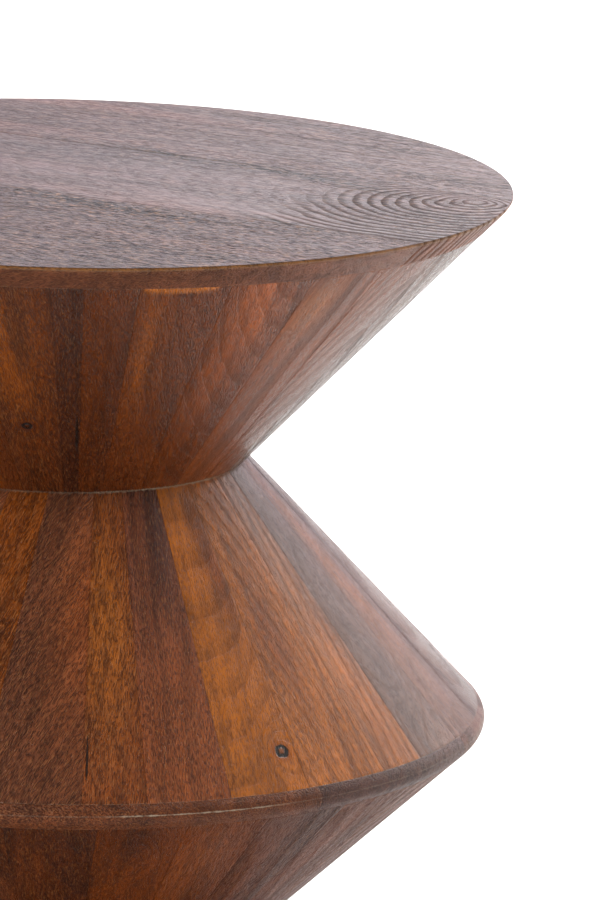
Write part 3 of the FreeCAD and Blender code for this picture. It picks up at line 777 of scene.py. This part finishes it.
# Ground colour: how patterns shade the tone, from its dark to its light shares
SHADE_START = -0.74
SHADE = {"figure": 0.95, "streaks": 0.80, "mottle": 0.45, "fibres": 0.32, "late": -0.45}
SHADE_RANGE = (-0.05, 1.02)
DARK_SHARES, LIGHT_SHARES = (0.50, 0.47, 0.48), (1.46, 1.42, 1.34)

# Marks laid over the ground in turn: mask, weight, and a colour. Three numbers are shares of the
# tone, and four are a colour of its own.
MARKS = (
    ("pits", 0.62, (0.24, 0.21, 0.22)),
    # crests: painted glints, a fixed pale colour on the tops of the pebbled surface
    ("painted_crest_glints", 0.25, (0.50, 0.24, 0.09, 1.0)),
    ("streak", 0.5, (0.34, 0.33, 0.36)),
    ("joint", 0.10, (0.30, 0.28, 0.28)),
    # seam: pale glue in the seams, and on the belly's nose a pale line with a painted highlight at
    # the front
    ("seam", 1.0, (0.46, 0.36, 0.27, 1.0)),
    ("heart", 1.0, (0.75, 0.62, 0.55)),
    ("knot", 1.0, (0.012, 0.008, 0.007, 1.0)),
)

# How marks roughen the finish and raise or sink the surface
ROUGH = {"pits": 0.20, "late": 0.40, "streak": 0.22, "mottle": 0.10}
ROUGHEST = 0.95
HEIGHT = {"pits": -0.75, "fibres": 0.12, "late": -0.7, "joint": -0.2, "knot": -1.0}
PEBBLE_HEIGHT = 0.9


def timber_group():
    """Colour, roughness and relief of oiled open-pored timber from its grain, rings and tone.

    Ring holds the distance from the pith, the contrast of the rings and how far they wobble.
    Edges holds the distance from a pale line, how pale it is, and the distance from a joint.
    """
    n, given, out = group(
        "timber",
        (("Grain", "Vector"), ("Ring", "Vector"), ("Tone", "Color"), ("Knot", "Vector"),
         ("Edges", "Vector"), ("Pores", "Float"), ("Ring Width", "Float"), ("Streaks", "Float"),
         ("Gloss", "Float")),
        (("Color", "Color"), ("Roughness", "Float"), ("Height", "Float")))
    masks = timber_masks(n, given)
    tone = given["Tone"]
    colour = n.mix(n.ramp(n.total(SHADE_START, SHADE, masks), *SHADE_RANGE),
                   n.scaled(tone, DARK_SHARES), n.scaled(tone, LIGHT_SHARES))
    for name, weight, paint in MARKS:
        paint = n.scaled(tone, paint) if len(paint) == 3 else paint
        colour = n.mix(n.math("MULTIPLY", masks[name], weight), colour, paint)
    rough = n.math("MINIMUM", n.total(given["Gloss"], ROUGH, masks), ROUGHEST)
    pebble = n.math("MULTIPLY", n.math("MULTIPLY", masks["pebble"], PEBBLE_HEIGHT), given["Pores"])
    height = n.total(pebble, HEIGHT, masks)
    for name, value in (("Color", colour), ("Roughness", rough), ("Height", height)):
        n.put(out.inputs[name], value)


def timber_masks(n, given):
    """Patterns and marks of timber by name, as numbers over the surface.

    late is the dark end of each growth ring. Pits are open pores and the hollows of the pebbled
    surface, and crests its tops, lit up as painted glints. joint and seam lie along a piece's
    edges.
    """
    masks = {name: n.noise(given["Grain"], *cells) for name, cells in PATTERNS.items()}
    rings, edges = n.parts(given["Ring"]), n.parts(given["Edges"])
    place = n.math("FRACT", n.math("ADD", n.math("DIVIDE", rings["X"], given["Ring Width"]),
                                   n.math("MULTIPLY", masks["figure"], rings["Z"])))
    late = n.math("MULTIPLY", n.ramp(place, *LATE_WOOD), n.fall(place, *LATE_WOOD_END))
    masks["late"] = n.math("MULTIPLY", late, rings["Y"])
    cells = n.add("ShaderNodeTexVoronoi", {"Vector": n.stretch(given["Grain"], PORE_CELL),
                                           "Scale": 1.0}, feature="F1").outputs["Distance"]
    size = n.ramp(masks["pore_fields"], *PORE_SIZE)
    pores = n.math("MULTIPLY", n.fall(n.math("SUBTRACT", cells, size), *PORE_EDGE), PORE_WEIGHT)
    pits = n.math("MAXIMUM", pores, n.fall(masks["pebble"], *PIT))
    masks["pits"] = n.math("MULTIPLY", pits, given["Pores"])
    # Crests are painted glints on the tops of the pebble
    masks["painted_crest_glints"] = n.math("MULTIPLY", n.ramp(masks["pebble"], *CREST_GLINT), given["Pores"])
    masks["streak"] = n.math("MULTIPLY", n.fall(masks["streaks"], *STREAK), given["Streaks"])
    masks["joint"] = n.fall(edges["Z"], *JOINT_LINE)
    off = n.math("MULTIPLY_ADD", masks["glue_lumps"], SEAM_RAGGED,
                 n.math("ABSOLUTE", edges["X"]))
    masks["seam"] = n.math("MULTIPLY", n.fall(off, *SEAM_LINE), edges["Y"])
    masks["knot"], masks["heart"] = knot_masks(n, given["Knot"], masks["knot_edge"])
    return masks


def knot_masks(n, place, edge):
    """Black ring and heart of a knot, or the black slit of a check, from its own coordinates.

    The distance from the blemish's middle is 1 at its rim, and edge makes it ragged. The third
    coordinate is 0 for a knot and 1 for a check.
    """
    parts = n.parts(place)
    flat = n.add("ShaderNodeCombineXYZ", {0: parts["X"], 1: parts["Y"]}).outputs[0]
    far = n.add("ShaderNodeVectorMath", {0: flat}, operation="LENGTH").outputs["Value"]
    far = n.math("MULTIPLY_ADD", edge, KNOT_RAGGED, n.math("SUBTRACT", far, KNOT_RAGGED / 2))
    ring = n.math("MULTIPLY", n.ramp(far, *KNOT_RING), n.fall(far, *KNOT_RIM))
    is_check = parts["Z"]
    not_check = n.math("SUBTRACT", 1.0, is_check)
    slit = n.math("MULTIPLY", n.ramp(far, *CHECK_SLIT), is_check)
    dark = n.math("MULTIPLY_ADD", ring, not_check, slit)
    heart = n.math("MULTIPLY", n.ramp(far, *KNOT_HEART), not_check)
    return n.math("MINIMUM", dark, 1.0), heart


def material(name):
    """A fresh material, its nodes and its Principled shader."""
    made = bpy.data.materials.new(name)
    made.use_nodes = True
    return made, Nodes(made.node_tree), made.node_tree.nodes["Principled BSDF"]


def timber(name, relief, shine, **values):
    """A timber finish: relief in metres, specular level, and the group's plain inputs."""
    made, n, shader = material(name)
    node = n.add("ShaderNodeGroup", node_tree=bpy.data.node_groups["timber"])
    for label, field, output in (("Grain", "grain", "Vector"), ("Ring", "ring", "Vector"),
                                 ("Tone", "tone", "Color"), ("Knot", "knot", "Vector"),
                                 ("Edges", "edges", "Vector"), ("Pores", "open_pores", "Fac")):
        carried = n.add("ShaderNodeAttribute", attribute_name=field)
        n.put(node.inputs[label], carried.outputs[output])
    for label, value in values.items():
        node.inputs[label.replace("_", " ")].default_value = value
    bump = n.add("ShaderNodeBump", {"Height": node.outputs["Height"], "Strength": 1.0,
                                    "Distance": relief})
    n.put(shader.inputs["Base Color"], node.outputs["Color"])
    n.put(shader.inputs["Roughness"], node.outputs["Roughness"])
    n.put(shader.inputs["Normal"], bump.outputs["Normal"])
    shader.inputs["Specular IOR Level"].default_value = shine
    return made


# Plain finishes: detail and distortion of the flecks, where they change colour and gloss
FLECKS = (5.0, 0.3)
FLECK_COLOUR, FLECK_GLOSS = (0.3, 0.7), (0.2, 0.8)
GLOSS_SPREAD = 0.08
FLECK_BUMP = 0.5
PLY, PLY_EDGE, PLY_WEIGHT = 0.0014, (0.4, 0.6), 0.55


def grained(name, pale, deep, sizes, rough, metal=0.0, relief=0.0002, plies=False):
    """A plain finish in Object coordinates: flecks between two colours, and plies if they show."""
    made, n, shader = material(name)
    place = n.add("ShaderNodeTexCoord").outputs["Object"]
    fleck = n.noise(place, sizes, *FLECKS)
    share = n.ramp(fleck, *FLECK_COLOUR)
    if plies:
        layer = n.math("PINGPONG", n.math("DIVIDE", n.parts(place)["Z"], PLY), 1.0)
        share = n.math("MULTIPLY_ADD", n.ramp(layer, *PLY_EDGE), PLY_WEIGHT,
                       n.math("MULTIPLY", share, 1 - PLY_WEIGHT))
    n.put(shader.inputs["Base Color"], n.mix(share, pale + (1.0,), deep + (1.0,)))
    n.put(shader.inputs["Roughness"],
          n.ramp(fleck, *FLECK_GLOSS, rough - GLOSS_SPREAD, rough + GLOSS_SPREAD))
    bump = n.add("ShaderNodeBump", {"Height": fleck, "Strength": FLECK_BUMP, "Distance": relief})
    n.put(shader.inputs["Normal"], bump.outputs["Normal"])
    shader.inputs["Metallic"].default_value = metal
    return made


def dress_inside():
    """Finishes for the pieces that keep their CAD shape."""
    finishes = {
        "plywood": grained("raw_plywood", (0.56, 0.38, 0.21), (0.36, 0.21, 0.10),
                           (0.002, 0.03, 0.002), 0.7, plies=True),
        "dowel_beech": grained("raw_beech", (0.60, 0.40, 0.24), (0.45, 0.27, 0.15),
                               (0.001, 0.001, 0.012), 0.62),
        "zinc_steel": grained("zinc_steel", (0.62, 0.60, 0.54), (0.42, 0.41, 0.38),
                              (0.0008, 0.0008, 0.0008), 0.36, metal=1.0, relief=0.00005),
        "nylon": grained("moulded_nylon", (0.030, 0.026, 0.023), (0.016, 0.014, 0.013),
                         (0.0007, 0.0007, 0.0007), 0.5, relief=0.00008),
    }
    for entry in frame["record"]["subparts"]:
        if entry["material_slot"] in finishes:
            mesh = frame["nodes"][entry["node"]].data
            mesh.materials.clear()
            mesh.materials.append(finishes[entry["material_slot"]])


def dress_timber():
    """Staves and boards in oiled timber, with a duller oil on the two lower cones."""
    timber_group()
    staves = timber("stave_timber", 0.00075, 0.22, Ring_Width=0.0042, Streaks=0.2, Gloss=0.17)
    low_staves = timber("low_stave_timber", 0.00075, 0.12, Ring_Width=0.0042, Streaks=0.2,
                        Gloss=0.24)
    boards = timber("slab_timber", 0.00070, 0.28, Ring_Width=0.0050, Streaks=0.38, Gloss=0.32)
    for cone in CONES:
        finish = low_staves if cone.waist == LOWER_WAIST else staves
        for panel in range(cone.panels):
            timber_piece(f"{cone.name}_staves_{panel + 1}",
                         [stave_block(cone, panel, i) for i in range(len(cone.shares))],
                         finish)
    for slab in SLABS:
        for number in range(len(slab.joints) + 1):
            timber_piece(f"{slab.name}_board_{number + 1}", [board_block(slab, number)],
                         boards)


# Soft panels of light: name, place, target, (width, height), strength per area, colour
LIGHTS = (
    ("backdrop", (0.3, 6.2, 1.8), (0, 0, 0.6), (8.0, 3.6), 3.3, (0.89, 0.76, 1.0)),
    ("right_back", (3.4, 4.2, 1.9), (0, 0, 0.4), (2.6, 2.6), 8.0, (1.0, 0.97, 0.95)),
    ("right_panel", (3.0, 1.0, 0.55), (0, 0, 0.35), (2.6, 1.1), 8.0, (1.0, 0.96, 0.92)),
    ("left_panel", (-2.4, -1.6, 1.9), (0, 0, 0.35), (2.0, 2.0), 6.5, (1.0, 0.97, 0.93)),
    ("front_panel", (-0.7, -2.4, 3.0), (0, 0, 0.3), (0.6, 0.5), 136.0, (1.0, 0.95, 0.87)),
    ("floor_panel", (0.9, 2.1, 2.0), (0.9, 2.05, 0.0), (1.8, 2.4), 28.0, (1.0, 1.0, 1.0)),
)
SURROUND, SURROUND_STRENGTH = (1.0, 0.95, 0.88, 1), 0.34
FLOOR_REACH = 9.0
FLOOR_WHITE, FLOOR_ROUGHNESS, FLOOR_SHINE = (0.9, 0.9, 0.9, 1), 0.9, 0.1

# Camera: angles in radians, place back from the axis and above the top, lens in millimetres
CAMERA_YAW, CAMERA_PITCH, CAMERA_ROLL = 0.0339, 0.224, 0.0309
CAMERA_BACK, CAMERA_ABOVE_TOP = 3.66123, 0.69578
LENS, SENSOR, FARTHEST = 293.07, 36.0, 60.0


def placed(columns):
    """A placing matrix from its three axes and its place."""
    return Matrix(np.stack(columns, 1).tolist() + [[0, 0, 0, 1]])


def panel_light(name, place, target, size, strength, colour):
    """A soft panel of light at a place, facing a target. size is (width, height) in metres."""
    data = bpy.data.lights.new(name, "AREA")
    data.shape, data.size, data.size_y = "RECTANGLE", size[0], size[1]
    data.energy, data.color = strength * size[0] * size[1], colour
    light = bpy.data.objects.new(name, data)
    away = np.array(place) - np.array(target)
    back = away / np.linalg.norm(away)
    side = np.cross((0.0, 0.0, 1.0), back)
    side = side / np.linalg.norm(side)
    light.matrix_world = placed([side, np.cross(back, side), back, place])
    light.visible_camera = False
    bpy.context.collection.objects.link(light)


def studio():
    """Pale floor, soft panels of light and a warm white surround."""
    mesh = bpy.data.meshes.new("floor")
    reach = FLOOR_REACH
    mesh.from_pydata([(-reach, -reach, 0), (reach, -reach, 0), (reach, reach, 0),
                      (-reach, reach, 0)], [], [(0, 1, 2, 3)])
    floor = bpy.data.objects.new("floor", mesh)
    bpy.context.collection.objects.link(floor)
    made, _, shader = material("pale_floor")
    shader.inputs["Base Color"].default_value = FLOOR_WHITE
    shader.inputs["Roughness"].default_value = FLOOR_ROUGHNESS
    shader.inputs["Specular IOR Level"].default_value = FLOOR_SHINE
    mesh.materials.append(made)
    world = bpy.data.worlds.new("surround")
    world.use_nodes = True
    surround = world.node_tree.nodes["Background"]
    surround.inputs["Color"].default_value = SURROUND
    surround.inputs["Strength"].default_value = SURROUND_STRENGTH
    bpy.context.scene.world = world
    for light in LIGHTS:
        panel_light(*light)


def camera():
    """Camera at the photograph's place and angle: a long lens, aimed by yaw, pitch and roll."""
    yaw, pitch, roll = CAMERA_YAW, CAMERA_PITCH, CAMERA_ROLL
    ahead = np.array([math.sin(yaw) * math.cos(pitch), math.cos(yaw) * math.cos(pitch),
                      -math.sin(pitch)])
    right = np.array([math.cos(yaw), -math.sin(yaw), 0.0])
    up = np.cross(right, ahead)
    right, up = (right * math.cos(roll) + up * math.sin(roll),
                 up * math.cos(roll) - right * math.sin(roll))
    data = bpy.data.cameras.new("camera")
    data.lens, data.sensor_width, data.sensor_fit = LENS, SENSOR, "AUTO"
    data.clip_end = FARTHEST
    eye = bpy.data.objects.new("camera", data)
    place = np.array([0.0, -CAMERA_BACK, TOP_LEVEL + CAMERA_ABOVE_TOP])
    eye.matrix_world = placed([right, up, -ahead, place])
    bpy.context.collection.objects.link(eye)
    bpy.context.scene.camera = eye


dress_timber()
dress_inside()
studio()
camera()
bpy.context.scene.view_settings.view_transform = "Standard"
